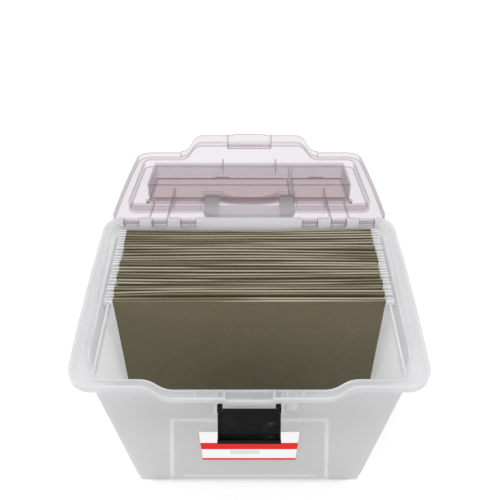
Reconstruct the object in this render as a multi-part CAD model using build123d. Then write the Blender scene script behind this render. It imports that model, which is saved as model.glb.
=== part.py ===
from build123d import *
import math
import os

# Portable file box for hanging letter folders: a tapered translucent tub with a flared rim, a
# see-through lid with a built-in organizer tray, a folding carry handle and a front latch.
# Millimetres. X runs across the width, Y from front to back and Z up. The origin is the centre of
# the underside. The model stands as the box is left open: the lid is laid back behind the tub,
# the latch hangs open and the handle is folded flat on the lid.

# ---- Tub ----
BOX_HEIGHT = 262.0       # underside to the top of the rim lip
TOP_WIDTH = 336.0        # walls, outside, at the shoulder under the rim
TOP_FRONT = 115.0        # front wall from the centre, at the shoulder
TOP_BACK = 112.0
SIDE_TAPER = 16.3        # each side wall leans in by this much on its way down
END_TAPER = 16.8         # the front and back walls lean in by this much on average
NOSE_TOP = 15.5          # the side walls turn in towards the front: across, at the shoulder,
NOSE_BASE = 12.2         # and at the base,
NOSE_LENGTH = 40.0       # over this length
NOSE_CORNER = 6.0
NOSE_BLEND = 60.0
BACK_CORNER = 14.0
LEAST_CORNER = 1.0
WALL = 2.4
FLOOR = 3.5
BASE_EDGE = 12.0         # height of the sloping edge under the walls
BASE_EDGE_INSET = 8.0
FOOT_LENGTH = 42.0       # along the front, from the base's corner
FOOT_DEPTH = 36.0
FOOT_CORNER = 4.0
PANEL_RAISE = 1.6        # the front panel stands this far out of the front wall
PANEL_SLOPE = 5.0        # width of the slope round the panel
PANEL_DROP = 90.0        # from the lip down to the panel
PANEL_HALF_TOP = 80.0
PANEL_HALF_BASE = 95.0

# ---- Rim ----
RIM_SIDE = 6.4           # the rim reaches this far past the wall at each end of the bowed sides,
RIM_AHEAD = 9.5          # at the front
RIM_BEHIND = 4.5         # and at the back
RIM_BOW = 2.3
RIM_CORNER = 24.0
RIM_SKIRT = 10.0
RIM_SHEET = 2.2
CHANNEL_DEPTH = 5.5      # from the lip down to the channel floor
BEAD_DROP = 4.2          # the wall's own top edge lies this far under the lip
DIP_DEPTH = 21.0         # the front of the rim dips towards the latch
DIP_HALF_FLOOR = 73.5
DIP_HALF_TOP = 106.5
DIP_SKIRT = 6.5          # the skirt is shorter along the dip

# ---- Rails for the folder hooks ----
RAIL_SETBACK = 15.0      # from the outside of the wall to the inner face of the rail
RAIL_THICK = 2.2
RAIL_DROP = 15.0         # from the lip down to the rail's top
RAIL_GROOVE = 7.0        # depth of the groove behind the rail
RAIL_SHEET = 2.4

# ---- Lid hinge ----
HINGE_PIN = 2.0
HINGE_PLAY = 0.08
BEAD_RADIUS = 6.0
KNUCKLE_RADIUS = 5.0
KNUCKLE_WIDTH = 19.0
KNUCKLE_GAP = 0.5        # beside and under each knuckle
KNUCKLE_ARM = 1.8
KNUCKLE_STEPS = (83.5, 48.5, 14.0)  # knuckles, from the end of the hinge bar
HINGE_RIB = 2.4
HINGE_RIB_DEPTH = 2.1    # how far the ribs beside the windows stand into the tub
HINGE_RIB_HEIGHT = 12.0
HINGE_END = 10.0         # the hinge bar ends this far inside the walls' width
LID_OPEN_ANGLE = 194.0   # from closed to laid back

# ---- Lid ----
LID_SHEET = 2.2
LID_SEAT = 2.0           # underside of the lid's flange above the lip
LID_GAP = 0.7            # between the lid's skirt and the lip, at the sides
LID_GAP_FRONT = 0.5
LID_REAR_SETBACK = 3.0   # the flange stops this far in front of the hinge axis
LID_SKIRT = 7.0
LID_SKIRT_GAP = 28.5     # the skirt ends this far in front of the rim's back edge
LID_CORNER = 21.0
LID_REAR_CORNER = 8.0
DOME_HEIGHT = 12.0       # inside height over the flange
DOME_SIDE = 8.5          # the dome stands in from the lid's edge by this much at the sides
DOME_AHEAD = 11.5        # and by this much from the rim's front edge
DOME_REAR = 45.0
DOME_CORNER = 12.0
FLAP_REACH = 2.5         # front face of the flap ahead of the rim's front edge
FLAP_DROP = 10.5
LID_DIP_GAP = 0.5        # flange over the lip along the dip
LID_DIP_NARROWER = 2.0   # half of the flap's straight part against the dip's
LID_DIP_WIDER = 1.0      # and its whole half width against the dip's
CATCH_MARGIN = 2.2       # the catch is wider than the latch by this much at each end
CATCH_HEIGHT = 11.5
CATCH_TAB = 2.0
CATCH_TAB_DEPTH = 4.5
TONGUE_DROP = 2.5        # the flap reaches lower between the latch's ears
TONGUE_GAP = 0.8         # narrower than the skirt's deeper middle by this much at each end
CHANNEL_RIB_STEP = 7.5   # from the catch's end to the lid's front ribs
LID_RIB = 1.6
REAR_RIBS_X = (103.0, 126.5)
LID_RIB_DROP = 5.0
LID_RIB_END = 100.0

# ---- Organizer tray in the lid ----
TRAY_SIDE = 22.5         # from the dome's side to the tray's
TRAY_FRONT = -70.0
TRAY_REAR = 8.0
TRAY_DROP = 11.0         # tray bottom under the lid's flange
TRAY_WALL = 2.0
TRAY_CORNER = 3.0
DIVIDER_X = 60.0

# ---- Tray covers ----
COVER_SHEET = 2.0
COVER_LAP = 2.5
COVER_GAP = 0.5
COVER_PIN = 1.5
COVER_PIN_PLAY = 0.08
COVER_BARREL = 2.4
COVER_EAR = 2.4
COVER_EAR_RADIUS = 3.2
COVER_RIM = 3.0          # the ring on the underside that locates the cover in the tray
COVER_TAB = 22.0
COVER_HINGE_SETBACK = 3.0

# ---- Carry handle ----
HANDLE_HALF_WIDTH = 60.5
HANDLE_ARM = 19.0
HANDLE_THICK = 8.0
HANDLE_GRIP_FRONT = 43.0
HANDLE_GRIP_REAR = 70.0
HANDLE_LIFT = 0.3
HANDLE_PIVOT_Y = 14.5
HANDLE_PIN = 2.5
HANDLE_PIN_PLAY = 0.08
HANDLE_PIN_REACH = 6.0
HANDLE_BORE_GAP = 0.3     # past the pin's end
HANDLE_OUTER_CORNER = 15.2
HANDLE_INNER_CORNER = 6.3
WELL_GAP = 1.5           # clear space round the handle's arms
SCOOP_REACH = 27.0       # how far back the finger scoop's curved edge bows
SCOOP_START = 9.5

# ---- Latch ----
LATCH_AHEAD = 0.5        # the pivot is this far ahead of the rim
LATCH_DROP = 38.5        # and this far under the lip
LATCH_HALF_WIDTH = 31.3
LATCH_SHEET = 2.2
LATCH_DEPTH = 9.0
LATCH_LIP_GAP = 0.7      # between the catch and the latch's lip
LATCH_LIP = 3.6
LATCH_LIP_REACH = 3.0
LATCH_EAR = 5.0
LATCH_EAR_WIDTH = 5.0
LATCH_PIN = 1.9
LATCH_PIN_PLAY = 0.06
LATCH_HANG_ANGLE = 135.0  # from closed to hanging open
LATCH_SIDE_GAP = 0.6     # between the side walls and the lid's flap
BRACKET = 2.2            # cheeks outside the latch's ears
BRACKET_GAP = 0.5
BRACKET_HEIGHT = 12.0
SKIRT_TONGUE = 6.5       # the skirt reaches lower between the ears
NOTCH_CHEEK = 2.6        # wall at each end of the notch in the lip over the latch
CHANNEL_RIB = 2.6
CHANNEL_RIB_SPACE = 28.5 # from the notch's cheek to the outer cross rib
BOSS_WIDTH = 10.5
BOSS_HEIGHT = 21.5
BOSS_STEP = 10.8         # from the latch's side to the middle of the boss
BOSS_HOLE = 1.6
BOSS_HOLE_DROP = 12.5    # from the boss's top to its hole

# ---- Label ----
LABEL_WIDTH = 110.0
LABEL_HEIGHT = 78.0
LABEL_THICK = 0.3
LABEL_DROP = 24.0        # from the panel's top edge to the label

# ---- Hanging folders ----
FOLDER_COUNT = 13
FOLDER_SIDE_GAP = 3.75   # between the folder's edge and the rail
FOLDER_RISE = 3.2        # folder tops over the rails
FOLDER_BOTTOM = 12.2
FOLDER_SHEET = 0.45
FOLDER_SPREAD = 5.2
FOLDER_LEAN = 25.0       # the front folder's fold hangs this far forward, the last one's not at all
FOLDER_HEM = 12.0
FOLDER_HEM_GAP = 1.9
FOLDER_CLEAR = 0.5       # round the panels' lower corners
FRONT_FOLDER_TRAVEL = 60.0
FOLDER_BACK_GAP = 11.6   # from the back wall's outer face to the last folder's front panel
FOLDER_PITCH = 9.2
ROD_THICK = 1.0
ROD_HEIGHT = 6.0
ROD_HOOK_GAP = 0.3       # over the rail
ROD_HOOK_HEIGHT = 3.4
ROD_HOOK_TIP = 4.5
ROD_SIDE_GAP = 0.4
ROD_TIP_WIDTH = 3.0

# ---- Worked out from the sizes above ----
SHOULDER = BOX_HEIGHT - RIM_SKIRT
BASE_WIDTH = TOP_WIDTH - 2 * SIDE_TAPER
BASE_DEPTH = TOP_FRONT + TOP_BACK - 2 * END_TAPER
PANEL_TOP = BOX_HEIGHT - PANEL_DROP
RIM_WIDTH = TOP_WIDTH + 2 * RIM_SIDE
RIM_FRONT = TOP_FRONT + RIM_AHEAD
RIM_BACK = TOP_BACK + RIM_BEHIND
RAIL_INNER = TOP_WIDTH / 2 - RAIL_SETBACK
RAIL_TOP = BOX_HEIGHT - RAIL_DROP
HINGE_Y = TOP_BACK
HINGE_Z = BOX_HEIGHT - BEAD_RADIUS
HINGE_HALF_LENGTH = TOP_WIDTH / 2 - HINGE_END
KNUCKLE_X = [HINGE_HALF_LENGTH - step for step in KNUCKLE_STEPS]
WALL_TOP = BOX_HEIGHT - BEAD_DROP
CHANNEL_FLOOR = BOX_HEIGHT - CHANNEL_DEPTH
LID_Z = BOX_HEIGHT + LID_SEAT
DOME_TOP = LID_Z + DOME_HEIGHT + LID_SHEET
LID_REAR = HINGE_Y - LID_REAR_SETBACK
LID_FRONT = RIM_FRONT - RIM_SHEET - LID_GAP_FRONT
LID_HALF_WIDTH = RIM_WIDTH / 2 - RIM_SHEET - LID_GAP
LID_SKIRT_END = RIM_BACK - LID_SKIRT_GAP
DOME_HALF_WIDTH = LID_HALF_WIDTH - DOME_SIDE
DOME_FRONT = -RIM_FRONT + DOME_AHEAD
TRAY_HALF_WIDTH = DOME_HALF_WIDTH - TRAY_SIDE
FLAP_FACE = -(RIM_FRONT + FLAP_REACH)
FLAP_SHEET = FLAP_REACH - LID_GAP_FRONT
DIP_SKIRT_Z = BOX_HEIGHT - DIP_DEPTH - DIP_SKIRT
LID_DIP_DEPTH = DIP_DEPTH + LID_SEAT - LID_DIP_GAP
LID_DIP_Z = LID_Z - LID_DIP_DEPTH
LID_DIP_HALF_FLOOR = DIP_HALF_FLOOR - LID_DIP_NARROWER
LID_DIP_HALF_TOP = DIP_HALF_TOP + LID_DIP_WIDER
TRAY_BOTTOM = LID_Z - TRAY_DROP
HANDLE_BOTTOM = LID_Z + LID_SHEET + HANDLE_LIFT
HANDLE_PIVOT_Z = HANDLE_BOTTOM + HANDLE_THICK / 2
WELL_HALF_WIDTH = HANDLE_HALF_WIDTH + WELL_GAP
WELL_INNER = HANDLE_HALF_WIDTH - HANDLE_ARM - WELL_GAP
BRACKET_INNER = LATCH_HALF_WIDTH + BRACKET_GAP
MIDDLE_HALF = LATCH_HALF_WIDTH - LATCH_EAR_WIDTH - BRACKET_GAP
NOTCH_HALF = MIDDLE_HALF - NOTCH_CHEEK
CATCH_HALF_WIDTH = LATCH_HALF_WIDTH + CATCH_MARGIN
TONGUE_HALF_WIDTH = MIDDLE_HALF - TONGUE_GAP
CHANNEL_RIB_X = CATCH_HALF_WIDTH + CHANNEL_RIB_STEP
LATCH_PIVOT_Y = -RIM_FRONT - LATCH_AHEAD
LATCH_PIVOT_Z = BOX_HEIGHT - LATCH_DROP
LATCH_REACH = LID_DIP_Z + CATCH_HEIGHT + LATCH_LIP_GAP - LATCH_PIVOT_Z
BOSS_X = LATCH_HALF_WIDTH + BOSS_STEP
LABEL_BOTTOM = PANEL_TOP - LABEL_DROP - LABEL_HEIGHT
FOLDER_WIDTH = 2 * (RAIL_INNER - FOLDER_SIDE_GAP)
FOLDER_TOP = RAIL_TOP + FOLDER_RISE
FOLDER_FIRST_Y = TOP_BACK - FOLDER_BACK_GAP - (FOLDER_COUNT - 1) * FOLDER_PITCH
COVER_PIN_Y = TRAY_REAR - COVER_HINGE_SETBACK
COVER_PIN_Z = DOME_TOP + COVER_GAP + COVER_BARREL


def span_box(x_low, x_high, y_low, y_high, z_low, z_high):
    """A box given by its limits."""
    size = Box(x_high - x_low, y_high - y_low, z_high - z_low)
    centre = ((x_low + x_high) / 2, (y_low + y_high) / 2, (z_low + z_high) / 2)
    return Pos(*centre) * size


def rod_along_x(radius, x_low, x_high, y, z):
    """A round bar along X."""
    bar = Cylinder(radius, x_high - x_low, rotation=(0, 90, 0))
    return Pos((x_low + x_high) / 2, y, z) * bar


def both_sides(shape):
    """The shape and its mirror image across the middle of the box."""
    return shape + mirror(shape, about=Plane.YZ)


def front_wall_y(z):
    """Outer face of the front wall at height z."""
    return -BASE_DEPTH / 2 - (TOP_FRONT - BASE_DEPTH / 2) * z / SHOULDER


def back_wall_y(z):
    """Outer face of the back wall at height z."""
    return BASE_DEPTH / 2 + (TOP_BACK - BASE_DEPTH / 2) * z / SHOULDER


def wall_section(z, inset):
    """Plan outline of the tub at height z, moved inward by inset. Its sides turn in at the front."""
    share = z / SHOULDER
    half = (BASE_WIDTH + (TOP_WIDTH - BASE_WIDTH) * share) / 2
    nose = half - NOSE_BASE - (NOSE_TOP - NOSE_BASE) * share
    front, back = front_wall_y(z), back_wall_y(z)
    turn = front + NOSE_LENGTH
    points = [(nose, front), (half, turn), (half, back), (-half, back), (-half, turn), (-nose, front)]
    face = offset(make_face(Polyline(*points, close=True)), -inset, kind=Kind.INTERSECTION)
    by_depth = face.vertices().sort_by(Axis.Y)
    face = fillet(by_depth[2:4], NOSE_BLEND)
    face = fillet(face.vertices().sort_by(Axis.Y)[:2], max(NOSE_CORNER - inset, LEAST_CORNER))
    face = fillet(face.vertices().sort_by(Axis.Y)[-2:], BACK_CORNER - inset)
    return Pos(0, 0, z) * face


def wall_block(z_low, z_high, inset):
    """Solid between two heights that follows the tub's taper."""
    return loft([wall_section(z_low, inset), wall_section(z_high, inset)], ruled=True)


def bowed_outline(half_width, front, back, front_corner, back_corner):
    """Plan outline with straight ends, bowed sides and rounded corners."""
    middle = (back - front) / 2
    left = ThreePointArc((-half_width, back), (-half_width - RIM_BOW, middle), (-half_width, -front))
    right = ThreePointArc((half_width, -front), (half_width + RIM_BOW, middle), (half_width, back))
    ends = [Line((-half_width, -front), (half_width, -front)), Line((half_width, back), (-half_width, back))]
    outline = make_face([left, ends[0], right, ends[1]])
    front_points = [v for v in outline.vertices() if v.Y < 0]
    outline = fillet(front_points, front_corner)
    back_points = [v for v in outline.vertices() if v.Y > back - 0.01]
    return fillet(back_points, back_corner)


def rim_outline(inset):
    """Plan outline of the rim, moved inward by inset."""
    corner = RIM_CORNER - inset
    return bowed_outline(RIM_WIDTH / 2 - inset, RIM_FRONT - inset, RIM_BACK - inset, corner, corner)


def lid_outline(inset):
    """Plan outline of the closed lid, moved inward by inset except at the rear."""
    corner = LID_CORNER - inset
    return bowed_outline(LID_HALF_WIDTH - inset, LID_FRONT - inset, LID_REAR, corner, LID_REAR_CORNER)


def prism(face, z_low, z_high):
    """A plan face extruded between two heights."""
    return Pos(0, 0, z_low) * extrude(face, z_high - z_low)


def dip_band(y_low, y_high, beside, along, halves=(DIP_HALF_TOP, DIP_HALF_FLOOR)):
    """Front strip across the dip, with its (top, bottom) heights beside the dip and along its floor."""
    (top, bottom), (top_floor, bottom_floor) = beside, along
    half_top, half_floor = halves

    def edge(side, floor):
        level = Vector(1, 0)
        left = Spline([(-half_top, side), (-half_floor, floor)], tangents=[level, level])
        right = Spline([(half_floor, floor), (half_top, side)], tangents=[level, level])
        return [left, Line((-half_floor, floor), (half_floor, floor)), right]

    ends = [Line((x, bottom), (x, top)) for x in (-half_top, half_top)]
    face = make_face(edge(top, top_floor) + edge(bottom, bottom_floor) + ends)
    band = extrude(Plane.XZ * face, -(y_high - y_low))
    return Pos(0, y_low, 0) * band


# ---- Tub ----
def base_edge(inset, z_low, z_high):
    """The sloping edge under the walls, from z_low on the floor to z_high."""
    return loft([wall_section(z_low, inset + BASE_EDGE_INSET), wall_section(z_high, inset)], ruled=True)


def corner_feet():
    """Four square feet under the corners."""
    foot_x = BASE_WIDTH / 2 - NOSE_BASE
    plan = Pos(foot_x - FOOT_LENGTH / 2, 0) * Rectangle(FOOT_LENGTH, BASE_DEPTH)
    plan = fillet(plan.vertices().sort_by(Axis.X)[-2:], FOOT_CORNER)
    feet = extrude(plan, BASE_EDGE)
    inner_depth = BASE_DEPTH / 2 - FOOT_DEPTH
    feet -= span_box(0, BASE_WIDTH, -inner_depth, inner_depth, -1, BASE_EDGE + 1)
    return both_sides(feet)


def tub_shell():
    """Tapered walls, floor and feet."""
    outside = wall_block(BASE_EDGE, WALL_TOP, 0) + base_edge(0, 0, BASE_EDGE) + corner_feet()
    inside = wall_block(BASE_EDGE, WALL_TOP + 1, WALL) + base_edge(WALL, FLOOR, BASE_EDGE)
    return outside - inside


def front_panel():
    """Raised panel low on the front wall, wider towards the base, with sloping sides."""
    lean = math.degrees(math.atan((TOP_FRONT - BASE_DEPTH / 2) / SHOULDER))
    wall_face = Pos(0, front_wall_y(0), 0) * Rot(90 + lean, 0, 0)

    def outline(grow, out):
        points = [
            (-PANEL_HALF_TOP - grow, PANEL_TOP + grow),
            (PANEL_HALF_TOP + grow, PANEL_TOP + grow),
            (PANEL_HALF_BASE + grow, BASE_EDGE),
            (-PANEL_HALF_BASE - grow, BASE_EDGE),
        ]
        return wall_face * Pos(0, 0, out) * make_face(Polyline(*points, close=True))

    return loft([outline(PANEL_SLOPE, 0), outline(0, PANEL_RAISE)], ruled=True) + loft(
        [outline(PANEL_SLOPE, -WALL / 2), outline(PANEL_SLOPE, 0)], ruled=True
    )


def rim_ring():
    """Lip, skirt and channel floor round the tub, dipped at the front."""
    tub_inside = wall_block(SHOULDER - RIM_SKIRT, BOX_HEIGHT + 1, WALL)
    skirt = prism(rim_outline(0) - rim_outline(RIM_SHEET), SHOULDER, BOX_HEIGHT)
    floor = prism(rim_outline(0), CHANNEL_FLOOR - RIM_SHEET, CHANNEL_FLOOR) - tub_inside
    ring = skirt + floor
    low, high = SHOULDER - 1, BOX_HEIGHT + 1
    ring -= span_box(-DIP_HALF_TOP, DIP_HALF_TOP, -RIM_FRONT - 1, -RIM_FRONT / 2, low, high)
    ring -= span_box(-HINGE_HALF_LENGTH, HINGE_HALF_LENGTH, HINGE_Y - BEAD_RADIUS, RIM_BACK + 1, low, high)
    return ring


def dipped_front():
    """The rim's front strips where they dip: skirt and lip, channel floor and wall edge."""
    lip_along = (BOX_HEIGHT - DIP_DEPTH, DIP_SKIRT_Z)
    lip = dip_band(-RIM_FRONT, -RIM_FRONT + RIM_SHEET, (BOX_HEIGHT, SHOULDER), lip_along)
    floor_beside = (CHANNEL_FLOOR, CHANNEL_FLOOR - RIM_SHEET)
    floor_along = [height - DIP_DEPTH for height in floor_beside]
    return lip + dip_band(-RIM_FRONT, front_wall_y(SHOULDER) + WALL / 2, floor_beside, floor_along)


def dip_cutter():
    """What the dip removes from the front wall."""
    clear_top = BOX_HEIGHT + DIP_DEPTH
    return dip_band(-RIM_FRONT, -RIM_FRONT / 2, (clear_top, WALL_TOP), (clear_top, WALL_TOP - DIP_DEPTH))


def rails():
    """Ledge with an upstanding rail along each side wall for the folder hooks."""
    ledge_z = RAIL_TOP - RAIL_GROOVE
    base_z = ledge_z - RAIL_SHEET
    ledge = span_box(RAIL_INNER, TOP_WIDTH / 2, -TOP_FRONT, TOP_BACK, base_z, ledge_z)
    rail = span_box(RAIL_INNER, RAIL_INNER + RAIL_THICK, -TOP_FRONT, TOP_BACK, base_z, RAIL_TOP)
    return both_sides(ledge + rail) & wall_block(base_z, RAIL_TOP, WALL / 2)


def hinge_bar():
    """Rounded bar along the back of the rim, with windows for the lid's knuckles and a pin in each."""
    bar = rod_along_x(BEAD_RADIUS, -HINGE_HALF_LENGTH, HINGE_HALF_LENGTH, HINGE_Y, HINGE_Z)
    wall_inner = back_wall_y(SHOULDER) - WALL
    top = HINGE_Z + BEAD_RADIUS
    bar += span_box(-HINGE_HALF_LENGTH, HINGE_HALF_LENGTH, wall_inner, HINGE_Y, SHOULDER - RIM_SHEET, top)
    for x in KNUCKLE_X:
        for side in (-1, 1):
            edge = x + side * (KNUCKLE_WIDTH / 2 + KNUCKLE_GAP + HINGE_RIB / 2)
            rib = span_box(
                edge - HINGE_RIB / 2,
                edge + HINGE_RIB / 2,
                wall_inner - HINGE_RIB_DEPTH,
                HINGE_Y,
                BOX_HEIGHT - HINGE_RIB_HEIGHT,
                top,
            )
            bar += both_sides(rib)
    return bar


def knuckle_windows():
    """Openings through the back of the rim, one for each knuckle of the lid."""
    half = KNUCKLE_WIDTH / 2 + KNUCKLE_GAP
    reach = BEAD_RADIUS + HINGE_RIB_DEPTH
    floor_z = HINGE_Z - KNUCKLE_RADIUS - KNUCKLE_GAP
    front, back = HINGE_Y - reach, HINGE_Y + reach
    windows = []
    for x in KNUCKLE_X:
        windows.append(span_box(x - half, x + half, front, back, floor_z, BOX_HEIGHT + 1))
        windows.append(span_box(x - half, x + half, HINGE_Y, back, HINGE_Z - reach, HINGE_Z))
    return both_sides(windows[0] + windows[1:])


def hinge_pins():
    """Pins across the windows, moulded with the tub."""
    inner = KNUCKLE_X[0] - KNUCKLE_WIDTH / 2 - HINGE_RIB
    outer = KNUCKLE_X[-1] + KNUCKLE_WIDTH / 2 + HINGE_RIB
    return both_sides(rod_along_x(HINGE_PIN, inner, outer, HINGE_Y, HINGE_Z))


def latch_brackets():
    """Cheeks on the front wall outside the latch's ears, with a stub pin each."""
    wall_y = front_wall_y(LATCH_PIVOT_Z) + WALL / 2
    underside = LATCH_PIVOT_Z - LATCH_EAR
    top = LATCH_PIVOT_Z + LATCH_EAR
    skirt_z = DIP_SKIRT_Z + RIM_SHEET / 2
    outline = Polyline(
        (wall_y, LATCH_PIVOT_Z - BRACKET_HEIGHT),
        (LATCH_PIVOT_Y + LATCH_EAR + BRACKET_GAP, underside),
        (LATCH_PIVOT_Y, underside),
        (LATCH_PIVOT_Y, top),
        (-RIM_FRONT, top),
        (-RIM_FRONT, skirt_z),
        (wall_y, skirt_z),
        close=True,
    )
    cheek = Pos(BRACKET_INNER, 0, 0) * extrude(Plane.YZ * make_face(outline), BRACKET)
    outer = BRACKET_INNER + BRACKET
    cheek += rod_along_x(LATCH_EAR, BRACKET_INNER, outer, LATCH_PIVOT_Y, LATCH_PIVOT_Z)
    pin_end = LATCH_HALF_WIDTH - LATCH_EAR_WIDTH
    cheek += rod_along_x(LATCH_PIN, pin_end, outer, LATCH_PIVOT_Y, LATCH_PIVOT_Z)
    return both_sides(cheek)


def skirt_middle():
    """The skirt's deeper middle between the latch's ears."""
    return span_box(
        -MIDDLE_HALF,
        MIDDLE_HALF,
        -RIM_FRONT,
        -RIM_FRONT + RIM_SHEET,
        DIP_SKIRT_Z - SKIRT_TONGUE,
        DIP_SKIRT_Z + RIM_SHEET,
    )


def lip_notch():
    """What the notch over the latch removes from the lip, down to the channel floor."""
    front = -RIM_FRONT - 1
    inner = -RIM_FRONT + RIM_SHEET + BRACKET_GAP
    return span_box(-NOTCH_HALF, NOTCH_HALF, front, inner, CHANNEL_FLOOR - DIP_DEPTH, BOX_HEIGHT + 1)


def channel_ribs():
    """Small cross ribs in the front channel, beside the notch and further out."""
    wall_y = front_wall_y(SHOULDER) + WALL / 2
    floor_z = CHANNEL_FLOOR - DIP_DEPTH
    low_z = floor_z - RIM_SHEET / 2
    front = -RIM_FRONT + RIM_SHEET / 2
    starts = (NOTCH_HALF, NOTCH_HALF + CHANNEL_RIB_SPACE)
    ribs = [span_box(x, x + CHANNEL_RIB, front, wall_y, low_z, floor_z + BEAD_DROP) for x in starts]
    return both_sides(ribs[0] + ribs[1])


def square_boss():
    """Boss under the skirt, to the right of the latch, with a small hole."""
    top = DIP_SKIRT_Z + RIM_SHEET
    wall_y = front_wall_y(top) + WALL / 2
    face_y = -RIM_FRONT + RIM_SHEET
    half = BOSS_WIDTH / 2
    boss = span_box(BOSS_X - half, BOSS_X + half, face_y, wall_y, top - BOSS_HEIGHT, top)
    hole = Cylinder(BOSS_HOLE, BOSS_WIDTH, rotation=(90, 0, 0))
    return boss - Pos(BOSS_X, face_y, top - BOSS_HOLE_DROP) * hole


def box_body():
    """The whole tub as one moulding."""
    body = tub_shell() + front_panel() + rim_ring()
    body -= dip_cutter()
    body += dipped_front() + rails() + hinge_bar()
    body -= knuckle_windows() + lip_notch()
    body += hinge_pins() + latch_brackets() + skirt_middle() + channel_ribs() + square_boss()
    return body


def front_label():
    """Paper label on the front panel, leaning with the wall."""
    lean = math.degrees(math.atan((TOP_FRONT - BASE_DEPTH / 2) / SHOULDER))
    middle_z = LABEL_BOTTOM + LABEL_HEIGHT / 2
    sheet = Box(LABEL_WIDTH, LABEL_THICK, LABEL_HEIGHT)
    face_y = front_wall_y(middle_z) - PANEL_RAISE / math.cos(math.radians(lean))
    return Pos(0, face_y - LABEL_THICK / 2 / math.cos(math.radians(lean)), middle_z) * Rot(lean, 0, 0) * sheet


# ---- Lid, built closed ----
def handle_well(grow):
    """Plan of the recess for the handle: two arm slots joined by the finger scoop."""
    rear = DOME_REAR + LID_SHEET
    arm = Pos((WELL_INNER + WELL_HALF_WIDTH) / 2, (TRAY_REAR + rear) / 2) * Rectangle(
        WELL_HALF_WIDTH - WELL_INNER + 2 * grow, rear - TRAY_REAR
    )
    left, right = (-WELL_INNER, SCOOP_START - grow), (WELL_INNER, SCOOP_START - grow)
    curve = ThreePointArc(left, (0, SCOOP_REACH - grow), right)
    sides = Polyline(right, (WELL_INNER, rear), (-WELL_INNER, rear), left)
    scoop = make_face([curve, *sides.edges()])
    return both_sides(arm) + scoop


def dome_plan(inset):
    """Plan of the raised middle of the lid."""
    width = 2 * (DOME_HALF_WIDTH - inset)
    depth = DOME_REAR - DOME_FRONT - 2 * inset
    return Pos(0, (DOME_FRONT + DOME_REAR) / 2) * RectangleRounded(width, depth, DOME_CORNER - inset / 2)


def lid_flange():
    """Flat flange with a skirt along the front and sides, dipped into a flap at the front."""
    plate = prism(lid_outline(0), LID_Z, LID_Z + LID_SHEET)
    skirt = prism(lid_outline(0) - lid_outline(LID_SHEET), LID_Z - LID_SKIRT, LID_Z + LID_SHEET)
    skirt &= span_box(-RIM_WIDTH, RIM_WIDTH, -RIM_WIDTH, LID_SKIRT_END, 0, 2 * BOX_HEIGHT)
    flange = plate + skirt
    flange -= span_box(-LID_DIP_HALF_TOP, LID_DIP_HALF_TOP, -RIM_WIDTH, DOME_FRONT, 0, 2 * BOX_HEIGHT)
    return flange


def lid_flap():
    """Front of the lid over the dip: flange, hanging flap and the dome's deeper front wall."""
    halves = (LID_DIP_HALF_TOP, LID_DIP_HALF_FLOOR)
    top = LID_Z + LID_SHEET
    floor_top = LID_DIP_Z + LID_SHEET
    dome_top = LID_Z + DOME_HEIGHT
    back = DOME_FRONT + LID_SHEET
    flange = dip_band(FLAP_FACE, back, (top, LID_Z), (floor_top, LID_DIP_Z), halves)
    flap_heights = ((top, LID_Z - LID_SKIRT), (floor_top, LID_DIP_Z - FLAP_DROP))
    flap = dip_band(FLAP_FACE, FLAP_FACE + FLAP_SHEET, *flap_heights, halves)
    face = dip_band(DOME_FRONT, back, (dome_top, LID_Z), (dome_top, LID_DIP_Z), halves)
    return flange + flap + face


def lid_catch():
    """Upstanding edge that the latch hooks over, between two tabs."""
    top = LID_DIP_Z + CATCH_HEIGHT
    low = LID_DIP_Z - FLAP_DROP
    back = FLAP_FACE + FLAP_SHEET
    tongue = span_box(-TONGUE_HALF_WIDTH, TONGUE_HALF_WIDTH, FLAP_FACE, back, low - TONGUE_DROP, top)
    catch = span_box(-CATCH_HALF_WIDTH, CATCH_HALF_WIDTH, FLAP_FACE, back, low, top)
    tab_low, tab_high = CATCH_HALF_WIDTH - CATCH_TAB / 2, CATCH_HALF_WIDTH + CATCH_TAB / 2
    tab = span_box(tab_low, tab_high, FLAP_FACE - CATCH_TAB_DEPTH, back, low, top)
    return catch + tongue + both_sides(tab)


def organizer_tray():
    """Sunken tray that becomes two compartments."""
    width = 2 * TRAY_HALF_WIDTH
    plan = Pos(0, (TRAY_FRONT + TRAY_REAR) / 2) * RectangleRounded(width, TRAY_REAR - TRAY_FRONT, TRAY_CORNER)
    return prism(plan, TRAY_BOTTOM, DOME_TOP)


def tray_hollows():
    """The two compartments, open at the top."""
    depth = (TRAY_FRONT + TRAY_WALL, TRAY_REAR - TRAY_WALL)
    height = (TRAY_BOTTOM + TRAY_WALL, DOME_TOP + 1)
    large = span_box(-TRAY_HALF_WIDTH + TRAY_WALL, DIVIDER_X - TRAY_WALL / 2, *depth, *height)
    small = span_box(DIVIDER_X + TRAY_WALL / 2, TRAY_HALF_WIDTH - TRAY_WALL, *depth, *height)
    return large + small


def lid_ribs():
    """Stiffening ribs under the lid: two from the tray to the front, four from the tray to the hinge."""

    def rib(x, y_low, y_high, z_low, z_high):
        return span_box(x - LID_RIB / 2, x + LID_RIB / 2, y_low, y_high, z_low, z_high)

    half = LID_SHEET / 2
    tray_front, tray_rear = TRAY_FRONT + TRAY_WALL / 2, TRAY_REAR - TRAY_WALL / 2
    inner_x, outer_x = REAR_RIBS_X
    ribs = rib(CHANNEL_RIB_X, DOME_FRONT + half, tray_front, LID_Z, DOME_TOP - half)
    ribs += rib(inner_x, tray_rear, LID_RIB_END, LID_Z - LID_RIB_DROP, LID_Z + half)
    ribs += rib(inner_x, tray_rear, DOME_REAR - half, LID_Z - LID_RIB_DROP, DOME_TOP - half)
    ribs += rib(outer_x, DOME_REAR - LID_SHEET, LID_RIB_END, LID_Z - LID_RIB_DROP / 2, LID_Z + half)
    return both_sides(ribs)


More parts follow.
